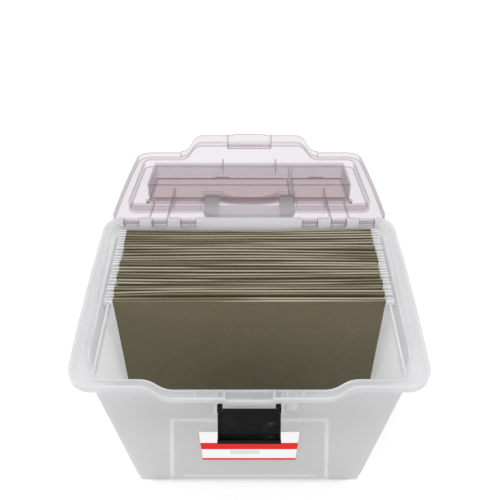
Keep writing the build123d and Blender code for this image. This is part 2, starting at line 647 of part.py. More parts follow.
def lid_knuckles():
    """Knuckles that turn on the tub's pins, each on a leaf from the lid's rear edge."""
    parts = []
    for x in KNUCKLE_X:
        low, high = x - KNUCKLE_WIDTH / 2, x + KNUCKLE_WIDTH / 2
        leaf_front = HINGE_Y - KNUCKLE_RADIUS
        knuckle = rod_along_x(KNUCKLE_RADIUS, low, high, HINGE_Y, HINGE_Z)
        knuckle += span_box(low, high, leaf_front, leaf_front + KNUCKLE_ARM, HINGE_Z, LID_Z + LID_SHEET)
        knuckle -= rod_along_x(HINGE_PIN + HINGE_PLAY, low - 1, high + 1, HINGE_Y, HINGE_Z)
        parts.append(knuckle)
    return both_sides(parts[0] + parts[1] + parts[2])


def cover_ears():
    """Ears on the lid that hold the tray covers' pins."""
    ears = []
    for x in (-TRAY_HALF_WIDTH - COVER_LAP, DIVIDER_X, TRAY_HALF_WIDTH + COVER_LAP):
        low, high = x - COVER_EAR / 2, x + COVER_EAR / 2
        ear = rod_along_x(COVER_EAR_RADIUS, low, high, COVER_PIN_Y, COVER_PIN_Z)
        front, back = COVER_PIN_Y - COVER_EAR_RADIUS, COVER_PIN_Y + COVER_EAR_RADIUS
        ear += span_box(low, high, front, back, DOME_TOP - LID_SHEET / 2, COVER_PIN_Z)
        bore = rod_along_x(COVER_PIN + COVER_PIN_PLAY, low - 1, high + 1, COVER_PIN_Y, COVER_PIN_Z)
        ears.append(ear - bore)
    return ears[0] + ears[1] + ears[2]


def handle_pins():
    """Stub pins in the arm slots that the handle turns on."""
    tip = HANDLE_HALF_WIDTH - HANDLE_PIN_REACH
    root = WELL_HALF_WIDTH + LID_SHEET / 2
    return both_sides(rod_along_x(HANDLE_PIN, tip, root, HANDLE_PIVOT_Y, HANDLE_PIVOT_Z))


def lid():
    """The whole lid as one moulding."""
    outer_plan = dome_plan(0)
    well_walls = handle_well(LID_SHEET) & outer_plan
    shell = lid_flange() + prism(outer_plan, LID_Z, DOME_TOP)
    shell -= prism(dome_plan(LID_SHEET), LID_Z - 1, LID_Z + DOME_HEIGHT)
    shell += prism(well_walls, LID_Z, DOME_TOP)
    shell += organizer_tray() + lid_flap() + lid_catch() + lid_ribs()
    shell -= prism(handle_well(0), LID_Z + LID_SHEET, DOME_TOP + 1)
    shell -= tray_hollows()
    return shell + lid_knuckles() + cover_ears() + handle_pins()


def tray_cover(x_low, x_high, hollow_low, hollow_high):
    """Cover over one compartment, with side pins, a locating ring and a finger tab."""
    front = TRAY_FRONT - COVER_LAP
    low_z = DOME_TOP + COVER_GAP
    top_z = low_z + COVER_SHEET
    plate = span_box(x_low, x_high, front, COVER_PIN_Y, low_z, top_z)
    plate += rod_along_x(COVER_BARREL, x_low, x_high, COVER_PIN_Y, COVER_PIN_Z)
    middle = (x_low + x_high) / 2
    tab_low, tab_high = middle - COVER_TAB / 2, middle + COVER_TAB / 2
    plate += span_box(tab_low, tab_high, front - COVER_LAP * 2, front + COVER_LAP, low_z, top_z)
    ring_front = TRAY_FRONT + TRAY_WALL + COVER_GAP
    ring_limits = (hollow_low + COVER_GAP, hollow_high - COVER_GAP, ring_front, COVER_PIN_Y - COVER_BARREL)
    ring = span_box(*ring_limits, low_z - COVER_RIM, low_z + COVER_SHEET / 2)
    inner_limits = [limit + step * COVER_SHEET for limit, step in zip(ring_limits, (1, -1, 1, -1))]
    ring -= span_box(*inner_limits, low_z - COVER_RIM - 1, low_z)
    pins = rod_along_x(COVER_PIN, x_low - COVER_EAR / 2, x_high + COVER_EAR / 2, COVER_PIN_Y, COVER_PIN_Z)
    return plate + ring + pins


def carry_handle():
    """Bail with two flat arms and a wide grip, folded back on the lid."""
    half = HANDLE_HALF_WIDTH
    outline = Polyline(
        (-half, HANDLE_PIVOT_Y),
        (-half, HANDLE_GRIP_REAR),
        (half, HANDLE_GRIP_REAR),
        (half, HANDLE_PIVOT_Y),
        (half - HANDLE_ARM, HANDLE_PIVOT_Y),
        (half - HANDLE_ARM, HANDLE_GRIP_FRONT),
        (-half + HANDLE_ARM, HANDLE_GRIP_FRONT),
        (-half + HANDLE_ARM, HANDLE_PIVOT_Y),
        close=True,
    )
    face = make_face(outline)
    outer = [v for v in face.vertices() if v.Y > HANDLE_GRIP_REAR - 1]
    face = fillet(outer, HANDLE_OUTER_CORNER)
    inner = [v for v in face.vertices() if abs(v.Y - HANDLE_GRIP_FRONT) < 0.1]
    face = fillet(inner, HANDLE_INNER_CORNER)
    bail = prism(face, HANDLE_BOTTOM, HANDLE_BOTTOM + HANDLE_THICK)
    eye = rod_along_x(HANDLE_THICK / 2, half - HANDLE_ARM, half, HANDLE_PIVOT_Y, HANDLE_PIVOT_Z)
    bail += both_sides(eye)
    bore_end = half - HANDLE_PIN_REACH - HANDLE_BORE_GAP
    bore = rod_along_x(HANDLE_PIN + HANDLE_PIN_PLAY, bore_end, half + 1, HANDLE_PIVOT_Y, HANDLE_PIVOT_Z)
    return bail - both_sides(bore)


def front_latch():
    """Latch standing closed: a shallow tray with a lip at the top and an ear on each pin."""
    y, z = LATCH_PIVOT_Y, LATCH_PIVOT_Z
    half = LATCH_HALF_WIDTH
    face = y - LATCH_DEPTH
    top = z + LATCH_REACH + LATCH_LIP
    low = z + LATCH_PIN
    side_back = FLAP_FACE - LATCH_SIDE_GAP
    plate = span_box(-half, half, face, face + LATCH_SHEET, low, top)
    lip = span_box(-half, half, face, y + LATCH_LIP_REACH, z + LATCH_REACH, top)
    side = span_box(half - LATCH_SHEET, half, face, side_back, z, top)
    ear = span_box(half - LATCH_EAR_WIDTH, half, face, y, z, z + LATCH_EAR)
    ear += rod_along_x(LATCH_EAR, half - LATCH_EAR_WIDTH, half, y, z)
    foot = Polyline((face, low), (y, z - LATCH_EAR), (y, z + LATCH_EAR), (face, z + LATCH_EAR), close=True)
    ear += Pos(half - LATCH_EAR_WIDTH, 0, 0) * extrude(Plane.YZ * make_face(foot), LATCH_EAR_WIDTH)
    ear -= rod_along_x(LATCH_PIN + LATCH_PIN_PLAY, 0, half + 1, y, z)
    return plate + lip + both_sides(side + ear)


# ---- Hanging folders ----
def folder_sheet(y, lean, travel):
    """One folder: two panels hung from their hems and joined at the bottom fold."""
    bottom = FOLDER_BOTTOM
    hem_z = FOLDER_TOP - FOLDER_HEM
    half = FOLDER_SHEET / 2
    width = FOLDER_WIDTH / 2
    back_wall = BASE_DEPTH / 2 - WALL - FOLDER_CLEAR
    fold_y = min(y + FOLDER_SPREAD / 2 - lean, back_wall - half)
    sheets = []
    for edge, inward in ((y, 1), (y + FOLDER_SPREAD, -1)):
        panel = make_face(
            Polyline(
                (edge - half, FOLDER_TOP),
                (edge + half, FOLDER_TOP),
                (edge + half, hem_z),
                (fold_y + half, bottom),
                (fold_y - half, bottom),
                (edge - half, hem_z),
                close=True,
            )
        )
        sheets.append(Pos(-width, 0, 0) * extrude(Plane.YZ * panel, FOLDER_WIDTH))
        hem_y = edge + inward * FOLDER_HEM_GAP
        low_y, high_y = sorted((edge - inward * half, hem_y + inward * half))
        sheets.append(span_box(-width, width, low_y, high_y, FOLDER_TOP - FOLDER_SHEET, FOLDER_TOP))
        sheets.append(span_box(-width, width, hem_y - half, hem_y + half, hem_z, FOLDER_TOP))
    room = wall_block(FLOOR + FOLDER_CLEAR, SHOULDER, WALL + FOLDER_CLEAR)
    return (sheets[0] + sheets[1:]) & room & (Pos(0, travel, 0) * room)


def folder_rods(y):
    """The folder's two flat rods, each ending in a hook over both rails."""
    hook_low = RAIL_TOP + ROD_HOOK_GAP
    hook_high = hook_low + ROD_HOOK_HEIGHT
    rod_top = FOLDER_TOP - FOLDER_SHEET
    tip_start = RAIL_INNER + RAIL_THICK + ROD_SIDE_GAP
    tip_end = tip_start + ROD_TIP_WIDTH
    bar_end = RAIL_INNER - ROD_SIDE_GAP
    rods = []
    for middle in (y + FOLDER_HEM_GAP / 2, y + FOLDER_SPREAD - FOLDER_HEM_GAP / 2):
        low, high = middle - ROD_THICK / 2, middle + ROD_THICK / 2
        rod = span_box(-bar_end, bar_end, low, high, rod_top - ROD_HEIGHT, rod_top)
        hook = span_box(bar_end - ROD_TIP_WIDTH, tip_end, low, high, hook_low, hook_high)
        hook -= span_box(0, FOLDER_WIDTH / 2 + ROD_SIDE_GAP, low - 1, high + 1, rod_top, hook_high + 1)
        hook += span_box(tip_start, tip_end, low, high, hook_low - ROD_HOOK_TIP, hook_high)
        rods.append(rod + both_sides(hook))
    return rods


# ---- Poses of the open box ----
def turned_about_x(shape, y, z, angle):
    """The shape turned about an axis along X through (y, z)."""
    return Pos(0, y, z) * Rot(angle, 0, 0) * Pos(0, -y, -z) * shape


def opened(shape):
    """A lid piece carried from closed to laid back."""
    return turned_about_x(shape, HINGE_Y, HINGE_Z, -LID_OPEN_ANGLE)


def build_nodes():
    """Every piece of the box by name, in the open pose."""
    cover_edge = TRAY_HALF_WIDTH + COVER_LAP - COVER_EAR / 2 - COVER_GAP
    split = COVER_EAR / 2 + COVER_GAP
    large = tray_cover(
        -cover_edge, DIVIDER_X - split, -TRAY_HALF_WIDTH + TRAY_WALL, DIVIDER_X - TRAY_WALL / 2
    )
    small = tray_cover(
        DIVIDER_X + split, cover_edge, DIVIDER_X + TRAY_WALL / 2, TRAY_HALF_WIDTH - TRAY_WALL
    )
    nodes = {
        "box_body": box_body(),
        "front_label": front_label(),
        "lid": opened(lid()),
        "large_tray_cover": opened(large),
        "small_tray_cover": opened(small),
        "carry_handle": opened(carry_handle()),
        "front_latch": turned_about_x(front_latch(), LATCH_PIVOT_Y, LATCH_PIVOT_Z, LATCH_HANG_ANGLE),
    }
    for number in range(FOLDER_COUNT):
        y = FOLDER_FIRST_Y + number * FOLDER_PITCH
        lean = FOLDER_LEAN * (1 - number / (FOLDER_COUNT - 1))
        nodes[f"folder_{number + 1:02d}"] = folder_sheet(y, lean, 0 if number else FRONT_FOLDER_TRAVEL)
        nodes[f"folder_rods_{number + 1:02d}"] = Compound(children=folder_rods(y))
    return nodes


os.makedirs("parts", exist_ok=True)
for name, shape in build_nodes().items():
    export_step(shape, f"parts/{name}.step")
    print(name, round(shape.volume / 1000, 2), "cm3")
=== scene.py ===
# %% [markdown] # A portable file box, in cells This lesson dresses a packed model of a
# portable file box: a frosted tub with a see-through lid, a black latch and a row of hanging
# folders.

# %% Load the frame
import bmesh
import bpy
import math
import random
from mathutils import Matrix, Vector
from mathutils.bvhtree import BVHTree


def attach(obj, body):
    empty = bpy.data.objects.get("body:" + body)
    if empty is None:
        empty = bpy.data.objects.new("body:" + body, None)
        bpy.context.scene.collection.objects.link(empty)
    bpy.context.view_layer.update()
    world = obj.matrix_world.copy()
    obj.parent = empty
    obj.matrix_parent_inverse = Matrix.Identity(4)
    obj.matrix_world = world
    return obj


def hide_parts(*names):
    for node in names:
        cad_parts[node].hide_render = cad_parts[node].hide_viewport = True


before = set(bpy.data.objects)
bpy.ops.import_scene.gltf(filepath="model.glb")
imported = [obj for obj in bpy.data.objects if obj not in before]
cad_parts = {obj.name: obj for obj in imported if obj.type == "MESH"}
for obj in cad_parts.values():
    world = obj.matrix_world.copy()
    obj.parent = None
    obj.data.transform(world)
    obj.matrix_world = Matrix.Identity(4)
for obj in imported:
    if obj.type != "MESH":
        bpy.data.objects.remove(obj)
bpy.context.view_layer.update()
MM = 0.001

# %% [markdown]
# ## Camera, floor and light
# The camera looks down at 45 degrees from the front, as a person does who is about to take a
# folder out. The lens and place were worked out from the box's own outline. The floor and the
# world are white and the lamps are large, so that shadows stay soft and the frosted plastic
# shows its own greys.

# %% Camera
CAMERA_PLACE = (0.0, -0.4283, 0.7456)
CAMERA_TILT = 45.14
FOCAL_LENGTH = 42.71
SENSOR_WIDTH = 36.0
SIDE_SHIFT = 0.0016

camera_data = bpy.data.cameras.new("camera")
camera_data.lens = FOCAL_LENGTH
camera_data.sensor_width = SENSOR_WIDTH
camera_data.shift_x = SIDE_SHIFT
camera = bpy.data.objects.new("camera", camera_data)
camera.location = CAMERA_PLACE
camera.rotation_euler = (math.radians(CAMERA_TILT), 0, 0)
bpy.context.scene.collection.objects.link(camera)
bpy.context.scene.camera = camera
bpy.context.scene.view_settings.view_transform = "Standard"
print("camera", FOCAL_LENGTH, "mm lens,", CAMERA_TILT, "degrees up from straight down")

# %% [markdown]
# ## Writing materials as expressions
# A material is a graph of nodes. Adding nodes one by one hides the idea, so `Wire` wraps an
# output socket and turns Python's operators into Math nodes, and `Finish` holds one material
# and adds any other node in one call. A pattern then reads as the formula that it is.

# %% Socket arithmetic
class Wire:
    """The output socket of a node, which can be used in sums."""

    def __init__(self, finish, socket):
        self.finish = finish
        self.socket = socket

    def math(self, operation, *values):
        return self.finish.add("ShaderNodeMath", {"operation": operation}, dict(enumerate(values)))

    def __add__(self, other):
        return self.math("ADD", self, other)

    def __sub__(self, other):
        return self.math("SUBTRACT", self, other)

    def __rsub__(self, other):
        return self.math("SUBTRACT", other, self)

    def __mul__(self, other):
        return self.math("MULTIPLY", self, other)

    def __truediv__(self, other):
        return self.math("DIVIDE", self, other)

    def above(self, level):
        return self.math("GREATER_THAN", self, level)

    def below(self, level):
        return self.math("LESS_THAN", self, level)

    def size(self):
        return self.math("ABSOLUTE", self)

    def at_least(self, level):
        return self.math("MAXIMUM", self, level)

    def ramped(self, low, high):
        """0 at low, 1 at high, with a soft start and end."""
        settings = {"interpolation_type": "SMOOTHSTEP"}
        values = {"Value": self, "From Min": low, "From Max": high}
        return self.finish.add("ShaderNodeMapRange", settings, values)

    __radd__ = __add__
    __rmul__ = __mul__


print("a Wire can be", [name for name in vars(Wire) if not name.startswith("_")])


# %% A material in the making
class Finish:
    """One material. Each call of add puts in a node and gives back its output."""

    def __init__(self, name):
        self.material = bpy.data.materials.new(name)
        self.material.use_nodes = True
        self.tree = self.material.node_tree
        self.tree.nodes.clear()
        self.output = self.tree.nodes.new("ShaderNodeOutputMaterial")

    def add(self, kind, settings=None, values=None, output=0):
        node = self.tree.nodes.new(kind)
        for name, value in (settings or {}).items():
            setattr(node, name, value)
        for name, value in (values or {}).items():
            if isinstance(value, Wire):
                self.tree.links.new(value.socket, node.inputs[name])
            else:
                node.inputs[name].default_value = value
        return Wire(self, node.outputs[output])

    def place(self):
        """Object coordinates, in metres."""
        return self.add("ShaderNodeTexCoord", output="Object")

    def axes(self):
        """The three object coordinates, each as a wire."""
        split = self.add("ShaderNodeSeparateXYZ", values={"Vector": self.place()}).socket.node
        return [Wire(self, split.outputs[axis]) for axis in "XYZ"]

    def stretched(self, scale):
        """Object coordinates with a scale for each axis, for patterns that run one way."""
        return self.add("ShaderNodeMapping", values={"Vector": self.place(), "Scale": scale})

    def speckle(self, scale, detail, place=None):
        """Noise from 0 to 1. A higher scale makes it finer."""
        values = {"Vector": place or self.place(), "Scale": scale, "Detail": detail}
        return self.add("ShaderNodeTexNoise", values=values)

    def tint(self, share, first, second):
        """A colour between two others."""
        values = {"Factor": share, "A": first, "B": second}
        mix = self.tree.nodes.new("ShaderNodeMix")
        mix.data_type = "RGBA"
        slots = {"Factor": mix.inputs[0], "A": mix.inputs[6], "B": mix.inputs[7]}
        for name, value in values.items():
            if isinstance(value, Wire):
                self.tree.links.new(value.socket, slots[name])
            else:
                slots[name].default_value = value
        return Wire(self, mix.outputs[2])

    def relief(self, height, strength, distance):
        """A bump for the Normal socket."""
        values = {"Height": height, "Strength": strength, "Distance": distance}
        return self.add("ShaderNodeBump", values=values)

    def blend(self, share, first, second):
        """Two shaders mixed: share is how much of the second shows."""
        mix = self.add("ShaderNodeMixShader", values={"Fac": share})
        self.tree.links.new(first.socket, mix.socket.node.inputs[1])
        self.tree.links.new(second.socket, mix.socket.node.inputs[2])
        return mix

    def finished(self, shader):
        self.tree.links.new(shader.socket, self.output.inputs["Surface"])
        return self.material


WHITE = (1.0, 1.0, 1.0, 1.0)


def grey(level):
    """A linear grey from 0 to 1."""
    return (level, level, level, 1.0)


def paint(red, green, blue):
    """A colour from screen values of 0 to 255, made linear."""
    channels = [channel / 255 for channel in (red, green, blue)]
    linear = [c / 12.92 if c <= 0.04045 else ((c + 0.055) / 1.055) ** 2.4 for c in channels]
    return (*linear, 1.0)


print("a mid grey is", [round(c, 3) for c in paint(128, 128, 128)])

# %% [markdown]
# ### Frosted polypropylene
# The tub and the handle are natural polypropylene, which is milky: light goes in, scatters and
# comes out on both sides. A Principled surface mixed with a Translucent one does that without
# the cost of a volume. Slow noise gives the cloudy flow of the moulding, fine noise the sandy
# texture of the mould, and rubbed patches are a little glossier.

# %% Natural polypropylene
IOR = 1.49


def frosted(name, light, shade, through, share, painted_places=None):
    """Milky plastic: surface colours light and shade, and the colour and share of what shines through.

    The last argument lists the places where light or shade is painted, each with a colour and how much
    less shines through.
    """
    finish = Finish(name)
    cloud = finish.speckle(scale=9.0, detail=3.0)
    grain = finish.speckle(scale=1400.0, detail=2.0)
    rubbed = finish.speckle(scale=38.0, detail=6.0).ramped(0.52, 0.72)
    colour = finish.tint(cloud.ramped(0.35, 0.65), light, shade)
    # Painted light and shade at the listed places.
    for place, paint_there, less in painted_places(finish) if painted_places else []:
        colour = finish.tint(place, colour, paint_there)
        if less:
            share = share - place * less
    relief = finish.relief(grain + cloud * 3, strength=0.12, distance=0.0006)
    body = finish.add(
        "ShaderNodeBsdfPrincipled",
        values={
            "Base Color": colour,
            "Roughness": 0.36 - rubbed * 0.12 + grain * 0.06,
            "Specular IOR Level": 0.5,
            "IOR": IOR,
            "Normal": relief,
        },
    )
    glow = finish.add("ShaderNodeBsdfTranslucent", values={"Color": through, "Normal": relief})
    return finish.finished(finish.blend(share, body, glow))


print("light bends by", IOR, "as it enters polypropylene")

# %% Painted light and shade on the tub
PANEL_TOP = 0.172
PANEL_HALF_TOP = 0.080
PANEL_SPREAD = 0.015 / 0.160
PANEL_SLOPE_INSIDE = (-0.0008, 0.0012)
PANEL_SLOPE_OUTSIDE = (0.0062, 0.0034)
LINE_HIGHLIGHT_HALF = 0.083
LINE_HIGHLIGHT_BELOW = (0.0150, 0.0170)
LINE_HIGHLIGHT_ABOVE = (0.0215, 0.0190)
FRONT_WALL = -0.09
BASE_PAINTED_LIGHT = (0.22, 0.08)
CHANNEL = (-0.1234, -0.1142)
CHANNEL_FLOOR = 0.2325
CHANNEL_FADE = (0.150, 0.115)
# Painted colours: the grey is shade in the front lip's channel, the white is light on the panel's slope,
# on a line above the base and on the base.
CHANNEL_PAINTED_SHADE = paint(196, 200, 200)
PAINTED_HIGHLIGHT_WHITE = paint(252, 252, 252)
SLOPE_HIGHLIGHT_SHARE, LINE_HIGHLIGHT_SHARE, BASE_LIGHT_SHARE = 0.45, 0.5, 0.40
HIGHLIGHT_HOLDS_BACK = 0.35


def tub_painted_light_and_shade(finish):
    """Painted shade darkens the front lip's channel, and painted light lifts the panel's slope, a line
    above the base and the base itself.
    """
    across, along, height = finish.axes()
    out = across.size() - PANEL_HALF_TOP - (PANEL_TOP - height) * PANEL_SPREAD
    out = out.at_least(height - PANEL_TOP)
    # Painted highlights on the panel's slope and on a line above the base, where the moulding has no
    # ledge.
    slope = out.ramped(*PANEL_SLOPE_INSIDE) * out.ramped(*PANEL_SLOPE_OUTSIDE)
    line_highlight = height.ramped(*LINE_HIGHLIGHT_BELOW) * height.ramped(*LINE_HIGHLIGHT_ABOVE) * across.size().below(LINE_HIGHLIGHT_HALF)
    # Painted light that grows towards the bottom of the tub.
    base = height.ramped(*BASE_PAINTED_LIGHT)
    painted_highlights = (slope * SLOPE_HIGHLIGHT_SHARE + line_highlight * LINE_HIGHLIGHT_SHARE) * along.below(FRONT_WALL) + base * BASE_LIGHT_SHARE
    # Painted shade in the front lip's channel, which is a recess.
    channel = along.above(CHANNEL[0]) * along.below(CHANNEL[1]) * height.above(CHANNEL_FLOOR)
    channel = channel * across.size().ramped(*CHANNEL_FADE)
    return [(channel, CHANNEL_PAINTED_SHADE, 0.0), (painted_highlights, PAINTED_HIGHLIGHT_WHITE, HIGHLIGHT_HOLDS_BACK)]


panel_foot = 2 * (PANEL_HALF_TOP + PANEL_TOP * PANEL_SPREAD)
print("the front panel is", round(panel_foot, 3), "m wide at its foot")

# %% Painted shade on the handle's arms
ARM_START = (0.0385, 0.0405)
ARM_DARKENS = (0.155, 0.200)
PIVOT_START = (0.199, 0.203)
ARM_PAINTED_SHADE = paint(112, 126, 121)
ARM_SHADE_SHARE, ARM_END_SHADE_SHARE, PIVOT_SHADE_SHARE = 0.34, 0.32, 0.3
ARM_HOLDS_BACK = 0.5


def handle_painted_shade(finish):
    """Shade is painted on the two arms of the handle, so they are darker than the grip, most of all at
    their pivots.
    """
    across, along, _ = finish.axes()
    # Painted shade on the arms, deepest at their pivots.
    arms = across.size().ramped(*ARM_START)
    pivots = along.ramped(*ARM_DARKENS) * ARM_END_SHADE_SHARE + along.ramped(*PIVOT_START) * PIVOT_SHADE_SHARE
    return [(arms * (pivots + ARM_SHADE_SHARE), ARM_PAINTED_SHADE, ARM_HOLDS_BACK)]


print("the grip is", 2 * ARM_START[0], "m long between its arms")

# %% The four milky plastics
POLYPROPYLENE = frosted(
    "natural_polypropylene",
    light=paint(238, 237, 239),
    shade=paint(233, 232, 235),
    through=paint(243, 243, 244),
    share=0.74,
    painted_places=tub_painted_light_and_shade,
)
# A lighter copy of the tub's plastic, which paints light onto the inner side walls.
LIT_INNER_WALL = frosted(
    "natural_polypropylene_lit_inner",
    light=paint(253, 253, 253),
    shade=paint(252, 252, 252),
    through=paint(254, 254, 254),
    share=0.74,
)
# A paler, less see-through copy of the tub's plastic: painted highlights on the tub's bevels, on the
# rails' tops and on the wall above the rails.
EDGE_HIGHLIGHT_PLASTIC = frosted(
    "natural_polypropylene_edge_highlight",
    light=paint(246, 246, 246),
    shade=paint(243, 243, 244),
    through=paint(245, 245, 245),
    share=0.46,
)
HANDLE_PLASTIC = frosted(
    "natural_polypropylene_handle",
    light=paint(250, 250, 250),
    shade=paint(246, 246, 247),
    through=paint(254, 254, 254),
    share=0.6,
    painted_places=handle_painted_shade,
)
print("made", POLYPROPYLENE.name, LIT_INNER_WALL.name, EDGE_HIGHLIGHT_PLASTIC.name, HANDLE_PLASTIC.name)

# %% [markdown]
# ### Smoke-tinted clear plastic
# The lid is clear with a faint pink-violet smoke tint. Each face of the sheet takes a little
# light away, so one sheet looks pale and the tray, with its bottom and its cover behind each
# other, looks twice as dark, as on the real one. Refraction would only add noise to sheets this
# thin, so a tinted Transparent surface is mixed with a glossy one. The glossy share grows with the
# fifth power of how far the sheet is turned away, which is Schlick's form of Fresnel's law and,
# unlike the Fresnel node, is the same for both faces of a sheet.

# %% Clear smoke
SCHLICK_POWER = 5.0


def smoky(name, tint, edge_colour, haze):
    """See-through plastic. Where it is seen along the sheet, edge_colour takes over from the tint."""
    finish = Finish(name)
    drift = finish.speckle(scale=14.0, detail=2.0)
    scuff = finish.speckle(scale=520.0, detail=5.0, place=finish.stretched((1.0, 7.0, 3.0)))
    scuff = scuff.ramped(0.60, 0.80)
    relief = finish.relief(drift, strength=0.05, distance=0.001)
    clear = finish.add("ShaderNodeBsdfTransparent", values={"Color": tint})
    skin = finish.add(
        "ShaderNodeBsdfPrincipled",
        values={
            "Base Color": edge_colour,
            "Roughness": 0.08 + scuff * 0.25,
            "IOR": IOR,
            "Normal": relief,
        },
    )
    turned = finish.add("ShaderNodeLayerWeight", values={"Blend": 0.5}, output="Facing")
    gloss = turned.math("POWER", turned, SCHLICK_POWER)
    return finish.finished(finish.blend(haze + gloss * 0.9 + scuff * 0.02, clear, skin))


LID_TINT = (0.908, 0.889, 0.902, 1.0)
# A darker smoke for the bevels of the lid and covers, painted shade along their edges.
EDGE_SHADE_TINT = (0.52, 0.46, 0.50, 1.0)
COVER_TINT = (0.790, 0.742, 0.742, 1.0)
CLEAR_SMOKE = smoky("clear_smoke_lid", LID_TINT, edge_colour=paint(178, 168, 174), haze=0.02)
EDGE_SHADE_SMOKE = smoky("clear_smoke_edge_shade", EDGE_SHADE_TINT, edge_colour=paint(140, 126, 136), haze=0.08)
SMOKE_COVER = smoky("clear_smoke_cover", COVER_TINT, edge_colour=paint(182, 166, 173), haze=0.02)
print("made", CLEAR_SMOKE.name, EDGE_SHADE_SMOKE.name, SMOKE_COVER.name)

# %% [markdown]
# ### Black latch plastic
# The latch is glossy black, with dull streaks that the mould's flow left and a pale patch where
# fingers press, which is rubbed wear and also a painted highlight. Both are noise, and the patch
# is kept to a small ellipse.

# %% Latch black
# Where the pale patch lies, which is rubbed wear and a painted highlight.
RUB_AND_HIGHLIGHT_PLACE = (0.020, 0.2030)
RUB_AND_HIGHLIGHT_SIZE = (0.009, 0.0060)
RUB_AND_HIGHLIGHT_FADE = (1.1, 0.3)


def latch_black():
    """Black with dull streaks, dust, and one pale patch that is rubbed wear and a painted highlight."""
    finish = Finish("latch_black")
    across, _, height = finish.axes()
    streak = finish.speckle(scale=60.0, detail=6.0, place=finish.stretched((0.6, 2.5, 2.5)))
    streak = streak.ramped(0.50, 0.75)
    dust = finish.speckle(scale=900.0, detail=4.0).ramped(0.62, 0.78)
    grain = finish.speckle(scale=2200.0, detail=2.0)
    # The pale patch is rubbed wear and a painted highlight.
    sideways = (across - RUB_AND_HIGHLIGHT_PLACE[0]) / RUB_AND_HIGHLIGHT_SIZE[0]
    upward = (height - RUB_AND_HIGHLIGHT_PLACE[1]) / RUB_AND_HIGHLIGHT_SIZE[1]
    rubbed = (sideways * sideways + upward * upward).ramped(*RUB_AND_HIGHLIGHT_FADE) * (dust * 0.5 + streak * 0.5)
    colour = finish.tint(streak * 0.6 + dust * 0.5, paint(4, 4, 5), paint(26, 27, 29))
    colour = finish.tint(rubbed * 0.7, colour, paint(120, 122, 124))
    body = finish.add(
        "ShaderNodeBsdfPrincipled",
        values={
            "Base Color": colour,
            "Roughness": 0.24 + streak * 0.22 + dust * 0.15,
            "Specular IOR Level": 0.2,
            "Normal": finish.relief(grain, strength=0.1, distance=0.0004),
        },
    )
    return finish.finished(body)


LATCH_BLACK = latch_black()
print("made", LATCH_BLACK.name)

# %% [markdown]
# ### Folder card
# Hanging folders are made of heavy olive card. Short fibres run mostly one way, so their noise is
# stretched, and it roughens the surface too. A slower noise mottles the colour. Nothing on it
# shines. A painted highlight runs along the fold over each rod, broken up more on some folders
# than on others, a faint line of painted shade marks a crease across below it, and the cut sides of
# the front folder show the card's pale core.

# %% Folder card
FOLD_TOP = 0.2502
FOLD_CREASE = 0.2120
FOLDER_EDGE = 0.1489
FRONT_FOLDER = -0.004
CREASE_SHADE_WIDTH = (0.0007, 0.0002)
FOLD_HIGHLIGHT_DEPTH = (0.0008, 0.0002)
OLIVE = (paint(109, 102, 80), paint(115, 108, 85), paint(105, 97, 75))
CREASE_SHADE_OLIVE = paint(86, 79, 60)
CARD_CORE = paint(196, 190, 168)
FOLD_HIGHLIGHT_CARD = paint(182, 174, 152)


def folder_card():
    """Olive card with painted shade along a crease, a painted highlight along the fold and, on the front
    folder, pale cut sides.
    """
    finish = Finish("folder_card")
    across, along, height = finish.axes()
    fibre = finish.speckle(scale=420.0, detail=6.0, place=finish.stretched((0.35, 1.0, 1.0)))
    mottle = finish.speckle(scale=16.0, detail=3.0)
    fibres = finish.tint(fibre.ramped(0.3, 0.7), OLIVE[0], OLIVE[1])
    colour = finish.tint(mottle.ramped(0.3, 0.8) * 0.4, fibres, OLIVE[2])
    # Painted shade along the crease and a painted highlight along the top of each fold.
    crease = (height - FOLD_CREASE).size().ramped(*CREASE_SHADE_WIDTH)
    fold_highlight = height.ramped(*[FOLD_TOP - depth for depth in FOLD_HIGHLIGHT_DEPTH])
    highlight_breaks = finish.speckle(scale=1.0, detail=2.0, place=finish.stretched((5.0, 170.0, 1.0)))
    highlight_breaks = highlight_breaks.ramped(0.42, 0.60)
    cut = across.size().above(FOLDER_EDGE) * along.below(FRONT_FOLDER)
    # Painted shade along the crease.
    colour = finish.tint(crease * 0.25, colour, CREASE_SHADE_OLIVE)
    colour = finish.tint(cut * 0.6, colour, CARD_CORE)
    # Painted highlight along the fold's top.
    colour = finish.tint(fold_highlight * (highlight_breaks * 0.7 + fibre * 0.1), colour, FOLD_HIGHLIGHT_CARD)
    body = finish.add(
        "ShaderNodeBsdfPrincipled",
        values={
            "Base Color": colour,
            "Roughness": 0.72 + fibre * 0.12,
            "Specular IOR Level": 0.25,
            "Normal": finish.relief(fibre, strength=0.08, distance=0.0004),
        },
    )
    return finish.finished(body)


FOLDER_CARD = folder_card()
print("made", FOLDER_CARD.name)

# %% [markdown]
# ### Rods and label
# Each folder hangs from flat steel rods whose hooks are dipped in white plastic so that they
# slide. One material covers both: beyond the folder's edge the coating begins. The label is
# white coated paper with two red bands and a few grey rules to write on, placed by height.

# %% Rod steel with dipped tips
COATED_FROM = 0.1493
STEEL = (paint(150, 150, 152), paint(190, 190, 192))
COATING = paint(242, 243, 243)


def rod_finish():
    """Brushed steel in the middle and white plastic on both hooks."""
    finish = Finish("rod_steel")
    across = finish.axes()[0].size()
    coated = across.above(COATED_FROM)
    brushed = finish.speckle(scale=700.0, detail=3.0, place=finish.stretched((0.05, 1.0, 1.0)))
    colour = finish.tint(coated, finish.tint(brushed, *STEEL), COATING)
    body = finish.add(
        "ShaderNodeBsdfPrincipled",
        values={
            "Base Color": colour,
            "Metallic": 1 - coated,
            "Roughness": 0.3 + brushed * 0.15,
        },
    )
    return finish.finished(body)


ROD_STEEL = rod_finish()
print("made", ROD_STEEL.name)


